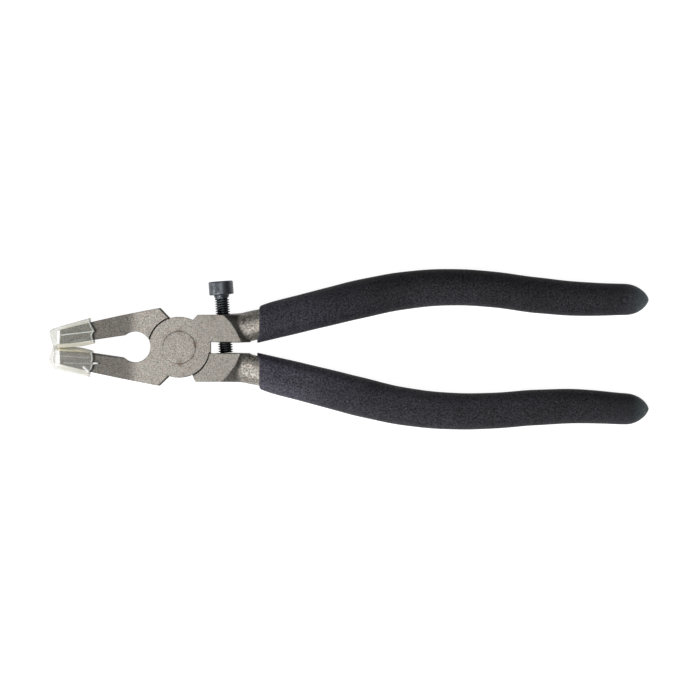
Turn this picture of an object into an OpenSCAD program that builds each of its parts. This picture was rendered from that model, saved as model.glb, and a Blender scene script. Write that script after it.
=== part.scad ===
// Running pliers for stained glass: two crossed steel levers turning on one flush rivet, a stop
// screw through one tang, a clear soft cover on each jaw and a dipped grip on each handle.
// +X runs along the tool from the jaws to the handles, +Y across it to the screw's head, and +Z
// along the pivot. The origin is on the pivot's axis, in the back face of the joint (z = 0).
// All sizes are millimetres. Both levers are drawn shut against the stop screw.

/* [Joint] */
// Thickness of the joint, both levers' plates together
joint_t = 12; // [10:0.5:14]
// Radius of the half-thickness disc on each lever
disc_r = 10.3; // [10:0.1:10.5]
// Gap between a disc and the other lever's shoulder around it
shoulder_gap = 0.35; // [0.3:0.05:0.5]
// Gap between the two discs where they slide on each other
face_gap = 0.06; // [0.02:0.02:0.1]
// Radius of the rivet's two flush heads
rivet_head_r = 5.5; // [5:0.1:6.5]
// Depth of each rivet head
rivet_head_h = 3; // [2:0.5:4]
// Radius of the rivet's shank
rivet_r = 4; // [3:0.1:4.5]
// Radial play of the rivet in the lever that turns on it
rivet_play = 0.05; // [0.02:0.01:0.1]

/* [Jaws] */
// Width of the jaws at their tips, along the pivot's direction
jaw_w = 25; // [18:1:30]
// Where the jaws end in front of the pivot
jaw_reach = 40.3; // [38:0.1:42]
// Radius of the round throat behind the jaws
throat_r = 5.2; // [4.8:0.05:5.4]
// Distance of the throat's centre from the pivot
throat_x = 14.9; // [14.7:0.1:15.2]
// Radius across the curved gripping faces, hollow above and crowned below
face_r = 90; // [75:5:200]

/* [Jaw covers] */
// Wall of the covers on the jaws' flat sides
cover_wall = 1.25; // [0.8:0.05:1.5]
// Wall of the covers between the two gripping faces at the tip; it thickens towards the mouth
pad_wall = 0.74; // [0.5:0.02:0.74]
// Empty length inside a cover, in front of the jaw
cover_air = 1; // [0.5:0.1:1.5]

/* [Stop screw] */
// Radius over the thread's crests
thread_r = 2.44; // [2.3:0.01:2.48]
// Radius of the tapped hole, as a plain bore
tapped_r = 2.5; // [2.5:0.01:2.55]
// Length under the head
screw_l = 19.7; // [18:0.1:30]
// Radius of the head
head_r = 4.15; // [3.8:0.05:4.6]
// Height of the head
head_h = 4.6; // [4:0.1:6]
// Hexagon socket across its flats
socket_af = 4; // [3:0.5:4]
// Lean of the screw towards the jaws, in degrees
screw_lean = 4.3; // [0:0.1:6]
// Distance from the pivot to the screw's axis, along the tool's centre line
screw_x = 15.6; // [15.4:0.1:15.8]

/* [Handles] */
// Wall of the dipped grips
grip_wall = 1.1; // [0.8:0.1:1.3]
// Half thickness of the handles' steel under the grips
handle_half_t = 4.9; // [4:0.1:5.2]
// Where the grips begin behind the pivot
grip_x = 26.8; // [25.5:0.1:30]
// Where the grips' rounded ends finish behind the pivot
grip_end = 158.9; // [157:0.1:161]
// Length of a grip's rounded end
grip_nose = 8; // [6:0.5:10]

/* [Hidden] */
$fn = 96;

mid_z = joint_t / 2;
shoulder_r = disc_r + shoulder_gap;
fit_gap = 0.01;
seat_gap = 0.06;
sleeve_gap = 0.1;
// How far cuts run past the metal they open, and how far blanks reach past the whole tool.
run_out = 1;
reach_y = 40;
reach_z = 30;

// Side outlines of the jaws, both drawn on +Y: tip, outer edge, heel, then back inside the disc and
// the throat. The gripping edge is cut afterwards along the face lines.
UPPER_JAW = [[-jaw_reach, -1], [-jaw_reach + 0.2, 5.9], [-29, 8.68], [-20, 10.72], [-8, 13.05],
             [-6.4, 13.33], [-3.1, 9.9], [-3, 5], [-8, 0], [-throat_x, -1]];
LOWER_JAW = [[-jaw_reach, -1], [-jaw_reach + 0.3, 5.75], [-28, 8.75], [-20, 10.45], [-8, 12.8],
             [-6.6, 13], [-3.3, 9.8], [-3, 5], [-8, 0], [-throat_x, -1]];
// Middle line of each gripping face, from the tip to behind the throat's front edge.
UPPER_FACE = [[-jaw_reach, 1.6], [-18, 4.38]];
LOWER_FACE = [[-jaw_reach, 0.17], [-18, 3.45]];
face_from = -46;
face_to = -16;
face_run_on = 1.5;
// Heights between which the crowned face is cut from its blank.
face_low = -5;
face_high = 7;
// Half width of the jaws from the plain joint to the flared tips, as [x, half width].
flare_x = 14.6;
FLARE = [[0, mid_z], [-flare_x, mid_z], [-flare_x - 1.9, mid_z + 0.3],
         [-flare_x - 3.8, mid_z + 0.8], [-jaw_reach, jaw_w / 2], [-jaw_reach - 4, jaw_w / 2 + 1]];
throat_y = 0.15;

// Middle lines of the covers' own gripping faces, from the jaw's tip to near the mouth.
UPPER_PAD = [UPPER_FACE[0] - [0, pad_wall], [-31, 1.15]];
LOWER_PAD = [LOWER_FACE[0] - [0, pad_wall], [-31, 0.2]];
// Side outlines of the jaw covers, drawn on +Y: closed end, then the outer wall to the mouth.
UPPER_COVER = [[-42.2, -1], [-43.9, 5.2], [-43.2, 6.2], [-30.2, 9.9], [-28.8, -1]];
LOWER_COVER = [[-42.4, -1], [-44.1, 4.8], [-43.6, 6.4], [-42.4, 7.3], [-30.2, 10.1], [-28.8, -1]];

// Where the covers' mouths are surely open, and the bevel round their closed ends.
mouth_x = -28;
end_bevel = 1.7;

// Tangs, from the disc round to the slot that the stop screw crosses.
slot_top = 1.75;
slot_bottom = -2.02;
UPPER_TANG = [[2, 4], [4.5, 9.2], [6.35, 11.15], [15.1, 11.15], [17.6, 7.6], [19.6, 4.6],
              [20.9, slot_top], [9, slot_top]];
LOWER_TANG = [[2, -4], [4.5, -9.7], [5.4, -11.66], [14.7, -11.66], [17.9, -6.9], [20.5, slot_bottom],
              [9, slot_bottom]];
slot_play = 0.2;
// Where the blocks that close the slot begin, inside the discs.
block_x = 8;

// Steel of each handle as [x, y of its centre, half its height], from inside the tang to its end.
UPPER_HANDLE = [[12.5, 6.5, 4.5], [18, 6.56, 4.82], [21, 6.7, 4.95], [24, 7.18, 5.15],
                [27, 7.85, 5.1], [31, 8.95, 5.3], [45, 12.4, 5.45], [60, 16.1, 5.6],
                [75, 19.05, 5.35], [90, 20.3, 5.1], [105, 19.7, 5.0], [120, 17.75, 5.0],
                [135, 16.4, 4.7], [151, 16.2, 4.2], [160, 16.1, 4.2]];
LOWER_HANDLE = [[12.5, 6.75, 4.6], [18, 6.72, 4.78], [21, 6.92, 4.9], [24, 7.34, 5.1],
                [27, 8.05, 5.0], [31, 9.15, 5.25], [45, 12.6, 5.5], [60, 16.45, 5.7],
                [75, 19.8, 5.4], [90, 21.45, 5.15], [105, 21.5, 5.0], [120, 20.4, 4.95],
                [135, 19.9, 4.7], [151, 20.8, 4.2], [160, 20.8, 4.2]];
steel_end = 152;
// Rounded end of the steel, as [distance past steel_end, share of the full section].
STEEL_NOSE = [[2, 0.75], [3, 0.4]];
// Rounded end of the grips, as shares of grip_nose, and how blunt it is: 0.5 is an ellipse.
NOSE_STEPS = [0.25, 0.5, 0.7, 0.84, 0.93, 0.98];
nose_blunt = 0.72;
ring_step = 4.5;
sides = 20;
// Roundness of the handles' cross-section: 2 is an ellipse, more is squarer.
squareness = 2.3;
// The necks begin this much thinner per side, and the handles' thickness follows this share of
// their height.
neck_thinning = 0.5;
taper_share = 0.7;

// ---- helper functions ----------------------------------------------------------------------
// The step of a table that x falls in.
function step_of(table, x, i = 0) =
    (i >= len(table) - 2 || x < table[i + 1][0]) ? i : step_of(table, x, i + 1);
// Slope of column c at row i, from its neighbours.
function slope(table, i, c) =
    let (a = max(i - 1, 0), b = min(i + 1, len(table) - 1))
    (table[b][c] - table[a][c]) / (table[b][0] - table[a][0]);
// Smooth cubic curve through column c of a table.
function along(table, x, c) =
    let (i = step_of(table, x), h = table[i + 1][0] - table[i][0], t = (x - table[i][0]) / h)
    table[i][c] * (2 * t ^ 3 - 3 * t ^ 2 + 1) + table[i + 1][c] * (3 * t ^ 2 - 2 * t ^ 3)
    + h * slope(table, i, c) * (t ^ 3 - 2 * t ^ 2 + t)
    + h * slope(table, i + 1, c) * (t ^ 3 - t ^ 2);
function power(v, p) = sign(v) * abs(v) ^ p;
// One cross-section of a handle at x, grown by `grow` and shrunk to `share`, turning by `way`.
function section(table, x, grow, share = 1, way = 1) =
    [for (k = [0:sides - 1]) let (a = way * 360 * k / sides)
        [x,
         along(table, x, 1) + share * (along(table, x, 2) + grow) * power(cos(a), 2 / squareness),
         mid_z + share * (half_t(table, x) + grow) * power(sin(a), 2 / squareness)]];
// Half thickness along Z: the necks start thinner and the steel tapers with the handle's height.
function half_t(table, x) =
    x < grip_x
        ? handle_half_t - neck_thinning * (grip_x - x) / (grip_x - table[0][0])
        : handle_half_t * (1 - taper_share + taper_share * along(table, x, 2) / along(table, grip_x, 2));
// Closed skin through rings of points, capped at both ends.
module skin(rings) {
    n = len(rings[0]);
    m = len(rings);
    points = [for (ring = rings) each ring];
    walls = [for (i = [0:m - 2], k = [0:n - 1]) let (j = (k + 1) % n)
        each [[i * n + k, (i + 1) * n + k, i * n + j], [i * n + j, (i + 1) * n + k, (i + 1) * n + j]]];
    first = [for (k = [0:n - 1]) k];
    last = [for (k = [n - 1:-1:0]) (m - 1) * n + k];
    polyhedron(points, concat([first], walls, [last]), convexity = 8);
}

// ---- levers ----------------------------------------------------------------------------------
// Jaw blank on +Y: the side outline cut to the flared width.
module jaw_blank(outline, flare) {
    intersection() {
        translate([0, 0, mid_z - reach_z])
            linear_extrude(2 * reach_z)
                polygon(outline);
        translate([0, reach_y, mid_z])
            rotate([90, 0, 0])
                linear_extrude(2 * reach_y)
                    polygon([for (p = flare) p, for (i = [len(flare) - 1:-1:0]) [flare[i][0], -flare[i][1]]]);
    }
}

// Rod lying along a gripping face, its surface passing `lower` below the face's middle line. It
// lies below the hollow face and above the crowned one.
module face_rod(face, crowned, lower) {
    slope = (face[1][1] - face[0][1]) / (face[1][0] - face[0][0]);
    start = face[0] + (face_from - face_run_on - face[0][0]) * [1, slope];
    side = crowned ? 1 : -1;
    translate([start[0], start[1], mid_z])
        rotate([0, 0, atan(slope)])
            translate([0, side * face_r, 0])
                rotate([0, 90, 0])
                    cylinder(h = (face_to - face_from + 2 * face_run_on) * sqrt(1 + slope ^ 2),
                             r = face_r + side * lower, $fn = 360);
}

// What a gripping face takes away from the blank, `lower` below the face itself.
module face_cut(face, crowned, lower = 0) {
    if (crowned)
        difference() {
            translate([face_from, face_low, mid_z - reach_z])
                cube([face_to - face_from, face_high - face_low, 2 * reach_z]);
            face_rod(face, crowned, lower);
        }
    else
        face_rod(face, crowned, lower);
}

// Jaw on +Y: hollow across its gripping face on the upper lever, crowned on the lower one.
module jaw(outline, face, crowned) {
    difference() {
        jaw_blank(outline, FLARE);
        face_cut(face, crowned);
    }
}

module throat() {
    translate([-throat_x, throat_y, mid_z - reach_z])
        cylinder(h = 2 * reach_z, r = throat_r);
}

// Disc of one lever with the block that closes the slot behind it, between heights z0 and z1.
module disc(z0, z1, block_low, block_high) {
    translate([0, 0, z0]) {
        cylinder(h = z1 - z0, r = disc_r, $fn = 180);
        translate([block_x, block_low, 0])
            cube([shoulder_r - block_x, block_high - block_low, z1 - z0]);
    }
}

// Room for the other lever's disc, between heights z0 and z1.
module shoulder_pocket(z0, z1) {
    translate([0, 0, z0])
        cylinder(h = z1 - z0, r = shoulder_r, $fn = 180);
}

module tang(outline) {
    linear_extrude(joint_t)
        polygon(outline);
}

// Neck and handle steel, from inside the tang to near the grip's end.
module handle_steel(table) {
    n = ceil((steel_end - table[0][0]) / ring_step);
    xs = [for (i = [0:n]) table[0][0] + (steel_end - table[0][0]) * i / n];
    skin(concat([for (x = xs) section(table, x, 0)],
                [for (end = STEEL_NOSE) section(table, steel_end + end[0], 0, end[1])]));
}

// Places its children along the stop screw: z = 0 on the tool's centre line, +z to the head.
module on_screw() {
    translate([screw_x, 0, mid_z])
        rotate([0, 0, screw_lean])
            rotate([-90, 0, 0])
                children();
}

// Front lever: lower jaw, front disc, upper tang with the tapped hole, and upper handle.
module front_lever() {
    color([0.62, 0.6, 0.57])
    difference() {
        union() {
            difference() {
                union() {
                    mirror([0, 1, 0]) jaw(LOWER_JAW, LOWER_FACE, true);
                    tang(UPPER_TANG);
                    handle_steel(UPPER_HANDLE);
                }
                shoulder_pocket(-run_out, mid_z + face_gap / 2);
            }
            disc(mid_z + face_gap / 2, joint_t, slot_bottom + slot_play, slot_top);
        }
        throat();
        cylinder(h = joint_t, r = rivet_r + fit_gap);
        translate([0, 0, joint_t - rivet_head_h])
            cylinder(h = rivet_head_h + run_out, r = rivet_head_r + fit_gap);
        on_screw() cylinder(h = reach_y, r = tapped_r);
    }
}

// Rear lever: upper jaw, rear disc, lower tang and lower handle.
module rear_lever() {
    color([0.64, 0.62, 0.59])
    difference() {
        union() {
            difference() {
                union() {
                    jaw(UPPER_JAW, UPPER_FACE, false);
                    tang(LOWER_TANG);
                    mirror([0, 1, 0]) handle_steel(LOWER_HANDLE);
                }
                shoulder_pocket(mid_z - face_gap / 2, joint_t + run_out);
            }
            disc(0, mid_z - face_gap / 2, slot_bottom, slot_top - slot_play);
        }
        throat();
        translate([0, 0, -run_out])
            cylinder(h = joint_t, r = rivet_r + rivet_play);
        translate([0, 0, -run_out])
            cylinder(h = run_out + rivet_head_h + face_gap, r = rivet_head_r + rivet_play);
    }
}

// ---- rivet and stop screw ----------------------------------------------------------------------
// Rivet: tight in the front lever, its ends closed into both counterbores and ground flush.
module pivot_rivet() {
    color([0.66, 0.64, 0.61]) {
        union() {
            cylinder(h = joint_t, r = rivet_r);
            cylinder(h = rivet_head_h, r = rivet_head_r);
            translate([0, 0, joint_t - rivet_head_h])
                cylinder(h = rivet_head_h, r = rivet_head_r);
        }
    }
}

// Stop screw: socket cap screw whose flat point bears on the lower tang.
module adjusting_screw() {
    point_z = -1.84;
    point_h = 0.5;
    bevel = 0.35;
    neck_h = 1.4;
    neck_flare = 0.35;
    socket_depth = 2.5;
    head_z = point_z + screw_l;
    color([0.2, 0.21, 0.23])
    on_screw()
    difference() {
        union() {
            translate([0, 0, point_z])
                cylinder(h = point_h, r1 = thread_r - point_h, r2 = thread_r);
            translate([0, 0, point_z + point_h])
                cylinder(h = screw_l - point_h, r = thread_r);
            translate([0, 0, head_z - neck_h])
                cylinder(h = neck_h, r1 = thread_r, r2 = thread_r + neck_flare);
            translate([0, 0, head_z])
                cylinder(h = head_h - bevel, r = head_r);
            translate([0, 0, head_z + head_h - bevel])
                cylinder(h = bevel, r1 = head_r, r2 = head_r - bevel);
        }
        translate([0, 0, head_z + head_h - socket_depth])
            cylinder(h = socket_depth + run_out, r = socket_af / sqrt(3), $fn = 6);
    }
}

// ---- jaw covers ----------------------------------------------------------------------------------
// Cover on +Y, closed in front of the jaw and open behind, its walls following the jaw's faces.
module jaw_cover(outline, jaw_outline, face, pad, crowned) {
    flare_slope = (jaw_w / 2 - FLARE[3][1]) / (jaw_reach + FLARE[3][0]);
    function half_width(x) = jaw_w / 2 - flare_slope * (x + jaw_reach);
    end_x = -jaw_reach - cover_air;
    front_x = outline[1][0];
    side_y = jaw_w / 2 + cover_wall;
    sides_out = [[mouth_x, half_width(mouth_x) + cover_wall], [-jaw_reach, side_y],
                 [front_x + end_bevel, side_y], [front_x, side_y - end_bevel]];
    sides_in = [[mouth_x, half_width(mouth_x) + seat_gap], [end_x, half_width(end_x) + seat_gap]];
    tip = jaw_outline[1];
    edge = (jaw_outline[2] - tip) / (jaw_outline[2][0] - tip[0]);
    room = [[end_x, -run_out], tip + (end_x - tip[0]) * edge + [0, seat_gap],
            tip + (mouth_x - tip[0]) * edge + [0, seat_gap], [mouth_x, -run_out]];
    // In front of the jaw the gripping face runs level, so that the two covers stay clear.
    level_pad = [pad[0], pad[0] + [1, 0]];
    color([0.85, 0.88, 0.84, 0.6])
    difference() {
        jaw_blank(outline, sides_out);
        face_cut(pad, crowned);
        face_cut(level_pad, crowned);
        difference() {
            jaw_blank(room, sides_in);
            face_cut(face, crowned, seat_gap);
        }
    }
}

module upper_jaw_cover() {
    jaw_cover(UPPER_COVER, UPPER_JAW, UPPER_FACE, UPPER_PAD, false);
}

module lower_jaw_cover() {
    mirror([0, 1, 0]) jaw_cover(LOWER_COVER, LOWER_JAW, LOWER_FACE, LOWER_PAD, true);
}

// ---- grips ------------------------------------------------------------------------------------------
// Dipped grip: an outer skin with a rounded end and an inner skin on the handle's steel.
module grip(table) {
    nose_x = grip_end - grip_nose;
    n = ceil((nose_x - grip_x) / ring_step);
    body = [for (i = [0:n]) grip_x + (nose_x - grip_x) * i / n];
    outer = concat([for (x = body) section(table, x, grip_wall, 1, -1)],
                   [for (t = NOSE_STEPS)
                       section(table, nose_x + t * grip_nose, grip_wall, (1 - t ^ 2) ^ nose_blunt, -1)]);
    m = ceil((steel_end - grip_x) / ring_step);
    core = [for (i = [0:m]) grip_x + (steel_end - grip_x) * i / m];
    bore = concat([for (x = core) section(table, x, sleeve_gap, 1, -1)],
                  [for (end = STEEL_NOSE)
                      section(table, steel_end + end[0] + sleeve_gap, sleeve_gap, end[1], -1)]);
    color([0.17, 0.17, 0.19])
        skin(concat([for (i = [len(outer) - 1:-1:0]) outer[i]], bore));
}

module upper_grip() {
    grip(UPPER_HANDLE);
}

module lower_grip() {
    mirror([0, 1, 0]) grip(LOWER_HANDLE);
}

front_lever();
rear_lever();
pivot_rivet();
adjusting_screw();
upper_jaw_cover();
lower_jaw_cover();
upper_grip();
lower_grip();
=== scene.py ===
"""Looks of the running pliers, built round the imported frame.

Shapes are worked out in millimetres in the frame's axes: +X from the jaws to the handles, +Y towards
the stop screw's head, +Z along the pivot. They become metres when a mesh is made. The levers and the
jaw covers are distance fields turned into quad meshes; the grips, the screw and the rivet are rings
of points. A shape said to be drawn on +Y is mirrored for the piece that lies on -Y.
"""
import math
from types import SimpleNamespace
import bpy
import numpy as np
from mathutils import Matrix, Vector


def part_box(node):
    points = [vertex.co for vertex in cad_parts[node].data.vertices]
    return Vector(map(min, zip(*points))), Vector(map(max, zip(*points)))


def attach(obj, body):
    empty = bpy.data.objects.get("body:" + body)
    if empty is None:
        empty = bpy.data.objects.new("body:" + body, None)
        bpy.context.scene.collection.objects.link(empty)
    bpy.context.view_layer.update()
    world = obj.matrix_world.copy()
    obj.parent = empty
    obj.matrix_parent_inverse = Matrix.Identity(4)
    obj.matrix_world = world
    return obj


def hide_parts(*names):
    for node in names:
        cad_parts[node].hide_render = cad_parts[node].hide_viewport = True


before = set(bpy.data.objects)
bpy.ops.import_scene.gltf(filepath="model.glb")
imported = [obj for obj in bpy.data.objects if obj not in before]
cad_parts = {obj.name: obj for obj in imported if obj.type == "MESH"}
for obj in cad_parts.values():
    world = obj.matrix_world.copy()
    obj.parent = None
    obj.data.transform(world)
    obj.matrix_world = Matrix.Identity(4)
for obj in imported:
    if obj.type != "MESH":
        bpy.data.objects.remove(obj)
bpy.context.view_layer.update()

MM = 0.001


def node_box(name):
    """Lowest and highest corner of a CAD node, in millimetres."""
    low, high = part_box(name)
    return np.array(low) / MM, np.array(high) / MM


# ---- dimensions --------------------------------------------------------------
JOINT_T = node_box("pivot_rivet")[1][2]
MID = JOINT_T / 2  # height of the joint's middle plane
HALF = JOINT_T / 2  # half of its thickness
DISC_R = 10.3
SHOULDER_R = 10.65
POCKET_R = SHOULDER_R - 0.05
POCKET_CLOSER = 0.2  # how much less beside the slot, fading out over the next angle
POCKET_TURN = 0.9
FACE_GAP = 0.03  # from the middle plane to a disc's inner face
RIVET_HEAD_R = node_box("pivot_rivet")[1][0]
RIVET_HEAD_H = 3
RIVET_R = 4
RIVET_CHAMFER = 0.025
THROAT = (-14.9, 0.15)
THROAT_R = 5.2
SLOT_TOP = 1.75
SLOT_BOTTOM = -2.02
SLOT_PLAY = 0.2
SLOT_END_X = SHOULDER_R
BLOCK_X = 8  # where the steel between disc and slot starts

# Jaws, drawn on +Y from the tip round the outer edge and the heel, and back inside the disc.
JAW_TIP_X = node_box("rear_lever")[0][0]
UPPER_JAW = [(-40.3, -1), (-40.1, 5.9), (-29, 8.68), (-20, 10.72), (-8, 13.05), (-6.4, 13.33),
             (-3.1, 9.9), (-3, 5), (-8, 0), (-14.9, -1)]
LOWER_JAW = [(-40.3, -1), (-40.0, 5.75), (-28, 8.75), (-20, 10.45), (-8, 12.8), (-6.6, 13),
             (-3.3, 9.8), (-3, 5), (-8, 0), (-14.9, -1)]
UPPER_FACE = [(-40.3, 1.6), (-18, 4.38)]
LOWER_FACE = [(-40.3, 0.17), (-18, 3.45)]
FACE_R = 90  # how strongly the gripping faces and pads are hollow or crowned
FACE_END = -15
JAW_HALF_W = 12.5
HEEL_CHAMFER = 0.4
HEEL_SLOPE = 0.6
FLARE_START = -15.33
FLARE_END = -40.3
FLARE_BLEND = 2.2
FLARE_SLOPE = (JAW_HALF_W - HALF) / (FLARE_START - FLARE_END)

# Tangs: the outline with its slanting side left out, and that side, drawn on +Y.
UPPER_TANG = [(2, 4), (4.5, 9.1), (6.3, 11), (24, 11), (24, 1.75), (9, 1.75)]
UPPER_SLANT = [(14.8, 11), (17.3, 8.6), (18.6, 6.56), (19.8, 4.5), (20.75, 2.5), (21.05, 1.75)]
LOWER_TANG = [(2, 4), (4.5, 9.7), (5.4, 11.66), (24, 11.66), (24, 2.02), (9, 2.02)]
LOWER_SLANT = [(14.4, 11.66), (16.8, 9), (17.8, 7.65), (19, 5.95), (19.8, 4.3), (20.8, 2.02)]
SLANT_DRAFT = (0.8, 1.25)  # slope of that side up to SLANT_START and from SLANT_FULL outwards
SLANT_START = 2
SLANT_FULL = 8.5

# Handles' steel as (x, y of its centre, half its height), drawn on +Y.
UPPER_HANDLE = [(12.5, 6.5, 4.5), (18, 6.56, 4.82), (21, 6.7, 4.95), (24, 7.18, 5.15),
                (27, 7.85, 5.1), (31, 8.95, 5.3), (45, 12.4, 5.45), (60, 16.1, 5.6),
                (75, 19.05, 5.35), (90, 20.3, 5.1), (105, 19.7, 5.0), (120, 17.75, 5.0),
                (135, 16.4, 4.7), (151, 16.2, 4.2), (160, 16.1, 4.2)]
LOWER_HANDLE = [(12.5, 6.75, 4.6), (18, 6.72, 4.78), (21, 6.92, 4.9), (24, 7.34, 5.1),
                (27, 8.05, 5.0), (31, 9.15, 5.25), (45, 12.6, 5.5), (60, 16.45, 5.7),
                (75, 19.8, 5.4), (90, 21.45, 5.15), (105, 21.5, 5.0), (120, 20.4, 4.95),
                (135, 19.9, 4.7), (151, 20.8, 4.2), (160, 20.8, 4.2)]
HANDLE_HALF_T = 4.9
NECK_THINNING = 0.5
TAPER_SHARE = 0.7  # how far the thickness follows the height along the handle
SQUARENESS = 2.3  # exponent of the section: 2 is an ellipse
STEEL_END = 155
LUMP_H = 0.035  # height of the necks' as-forged lumps
LUMPS_X = 16  # where they start

GRIP_X = 26.8
GRIP_WALL = 1.1
GRIP_END = node_box("upper_grip")[1][0]
GRIP_NOSE = 8
GRIP_RING = 0.3  # step from ring to ring along a grip
# Where the rings of the nose and of the mouth's rounded lip lie, as shares of the way along them.
NOSE_AT = (1, 0.996, 0.985, 0.965, 0.94, 0.9, 0.86, 0.81, 0.76, 0.7, 0.63, 0.56, 0.48, 0.4, 0.31, 0.22, 0.12)
LIP_AT = (0.0, 0.12, 0.26, 0.4, 0.55, 0.7, 0.83, 0.93, 1.0)
NOSE_ROUND = 0.66  # exponent of the nose's outline: 0.5 is an ellipse
WAVE_H = 0.04  # unevenness of the dipped skin
BORE_GAP = 0.03
DENT_R = 1.3  # the ring-shaped dent in a grip
DENT_WIDTH = 0.3
DENT_DEPTH = 0.28

# Stop screw: its axis crosses the tool's centre line at SCREW_X and leans towards the jaws.
SCREW_X = 15.6
SCREW_LEAN = math.radians(4.3)
SCREW_AXIS = np.array([-math.sin(SCREW_LEAN), math.cos(SCREW_LEAN), 0])
TAPPED_R = 2.5
THREAD_R = 2.44
PITCH = 0.8
THREAD_DEPTH = 0.6
THREAD_END = 1.3  # plain length under the head
THREAD_RING = 0.05  # step from ring to ring along the thread
SCREW_POINT = -1.84
SCREW_L = 19.7
HEAD_R = 4.15
HEAD_H = 4.6
HEAD_BEVEL = 0.35
SOCKET_AF = 4
SOCKET_DEPTH = 2.5

# Jaw covers, drawn on +Y: wall lines from the pad round the end, the mouth's edge, and creases as
# (from, to, half width, strength).
COVER_WALL = 1.25
SEAT_GAP = 0.06
UPPER_PAD = [(-40.3, 0.86), (-31, 1.15)]
LOWER_PAD = [(-40.3, -0.57), (-31, 0.2)]
UPPER_SHELL = [(-42.2, -1), (-43.9, 5.2), (-43.2, 6.2), (-30.2, 9.9)]
LOWER_SHELL = [(-42.4, -1), (-44.1, 4.8), (-42.4, 7.3), (-30.2, 10.1)]
UPPER_MOUTH = [(-28.7, 0.5), (-28.8, 2.4), (-29.13, 2.64), (-29.43, 4.38), (-28.55, 5.45),
               (-30.3, 8.66), (-30.1, 10.5)]
LOWER_MOUTH = [(-29.4, 0), (-29.3, 2), (-29.1, 4.16), (-29.35, 4.9), (-29, 5.05), (-27.4, 5.15),
               (-27.4, 5.65), (-29, 5.75), (-29.3, 6.3), (-29.5, 7.2), (-30.3, 8.2), (-30.4, 10.5)]
# A crease is a low ridge with a painted highlight along it; the last lower one, short and strong, is a
# painted glint.
UPPER_CREASES = [((-39.6, 4.15), (-28.6, 5.45), 0.17, 0.8), ((-36, 1.9), (-31.5, 2.7), 0.3, 0.2)]
LOWER_CREASES = [((-38.8, 5.2), (-29.2, 5.5), 0.2, 0.22), ((-39.5, 2.9), (-30.5, 3.4), 0.3, 0.15),
                 ((-32.1, 6.7), (-30.4, 8.2), 0.34, 1.2)]
CREASE_H = 0.14
PAD_BEND = 0.7  # how far a pad bends away at the mouth
PAD_BEND_X = -34
MOUTH_X = -29.2
RAGGED = 0.18  # how unevenly the mouth is cut
DEEPEST = 27.0  # vinyl is followed inwards from here, by WALL_STEP
WALL_STEP = 0.4
CREAM_EDGE = [(-40.3, 1.35), (-29.4, 2.15)]  # up to here a cover's flat sides are creamy

# Rounding radii.
EDGE = 0.14  # the steel's edges
HEEL_EDGE = 0.08
POCKET_EDGE = 0.05
HOLE_EDGE = 0.02
NECK_FILLET = 0.5
BAR_END = 2.5
COVER_TIP = 1.2
COVER_SIDE = 0.7
PAD_EDGE = 0.35
CUT_EDGE = 0.1
ROOM_END = 0.5
ROOM_SIDE = 0.4
ROOM_FACE = 0.3

# Grid steps.
FINE = 0.24  # the steel's visible end
COARSE = 1.5  # the steel inside the grips
COARSE_Y = 0.6
COVER_STEP = 0.2


# ---- distance fields ---------------------------------------------------------
def polygon(points, x, y):
    """Signed distance to a closed outline, negative inside."""
    nearest, inside = np.inf, False
    for (ax, ay), (bx, by) in zip(points, points[1:] + points[:1]):
        ex, ey = bx - ax, by - ay
        share = np.clip(((x - ax) * ex + (y - ay) * ey) / (ex * ex + ey * ey), 0, 1)
        away = (x - ax - ex * share) ** 2 + (y - ay - ey * share) ** 2
        nearest = np.minimum(nearest, away)
        crossed = ((ay > y) != (by > y)) & (x < ax + (y - ay) * (ex / ey if ey else 0))
        inside = inside ^ crossed
    return np.where(inside, -1, 1) * np.sqrt(nearest)


def past(a, b, x, y):
    """Signed distance from the line a to b, positive on its left."""
    length = math.hypot(b[0] - a[0], b[1] - a[1])
    return ((b[0] - a[0]) * (y - a[1]) - (b[1] - a[1]) * (x - a[0])) / length


def both(a, b, r):
    """Intersection of two shapes, its edge rounded to radius r."""
    return np.minimum(-r, np.maximum(a, b)) + np.hypot(np.maximum(a + r, 0), np.maximum(b + r, 0))


def either(a, b, r):
    """Union of two shapes with a fillet of radius r."""
    return np.maximum(r, np.minimum(a, b)) - np.hypot(np.maximum(r - a, 0), np.maximum(r - b, 0))


def without(a, b, r):
    """Shape a with b cut away, the cut's edge rounded to radius r."""
    return both(a, -b, r)


def along(table, column, x):
    """Smooth cubic curve through one column of a table."""
    rows = np.array(table, float)
    at, value = rows[:, 0], rows[:, column]
    before = np.maximum(np.arange(len(at)) - 1, 0)
    after = np.minimum(np.arange(len(at)) + 1, len(at) - 1)
    slope = (value[after] - value[before]) / (at[after] - at[before])
    i = np.clip(np.searchsorted(at, x, side="right") - 1, 0, len(at) - 2)
    step = at[i + 1] - at[i]
    t = (x - at[i]) / step
    return (value[i] * (2 * t ** 3 - 3 * t ** 2 + 1) + value[i + 1] * (3 * t ** 2 - 2 * t ** 3)
            + step * slope[i] * (t ** 3 - 2 * t ** 2 + t) + step * slope[i + 1] * (t ** 3 - t ** 2))


def read(table, x):
    """Straight lines through a table of (x, value)."""
    return np.interp(x, *zip(*table))


def ramp(value, start, stop):
    """0 at start, 1 at stop and straight between them."""
    return np.clip((value - start) / (stop - start), 0, 1)


def fade(distance, width):
    """1 on a line, fading with the distance from it."""
    return np.exp(-(distance / width) ** 2)


def half_thickness(table, x):
    """Half thickness of a handle's steel along Z."""
    start = table[0][0]
    neck = HANDLE_HALF_T - NECK_THINNING * (GRIP_X - x) / (GRIP_X - start)
    share = along(table, 2, x) / along(table, 2, np.array(GRIP_X))
    return np.where(x < GRIP_X, neck, HANDLE_HALF_T * (1 - TAPER_SHARE + TAPER_SHARE * share))


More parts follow.
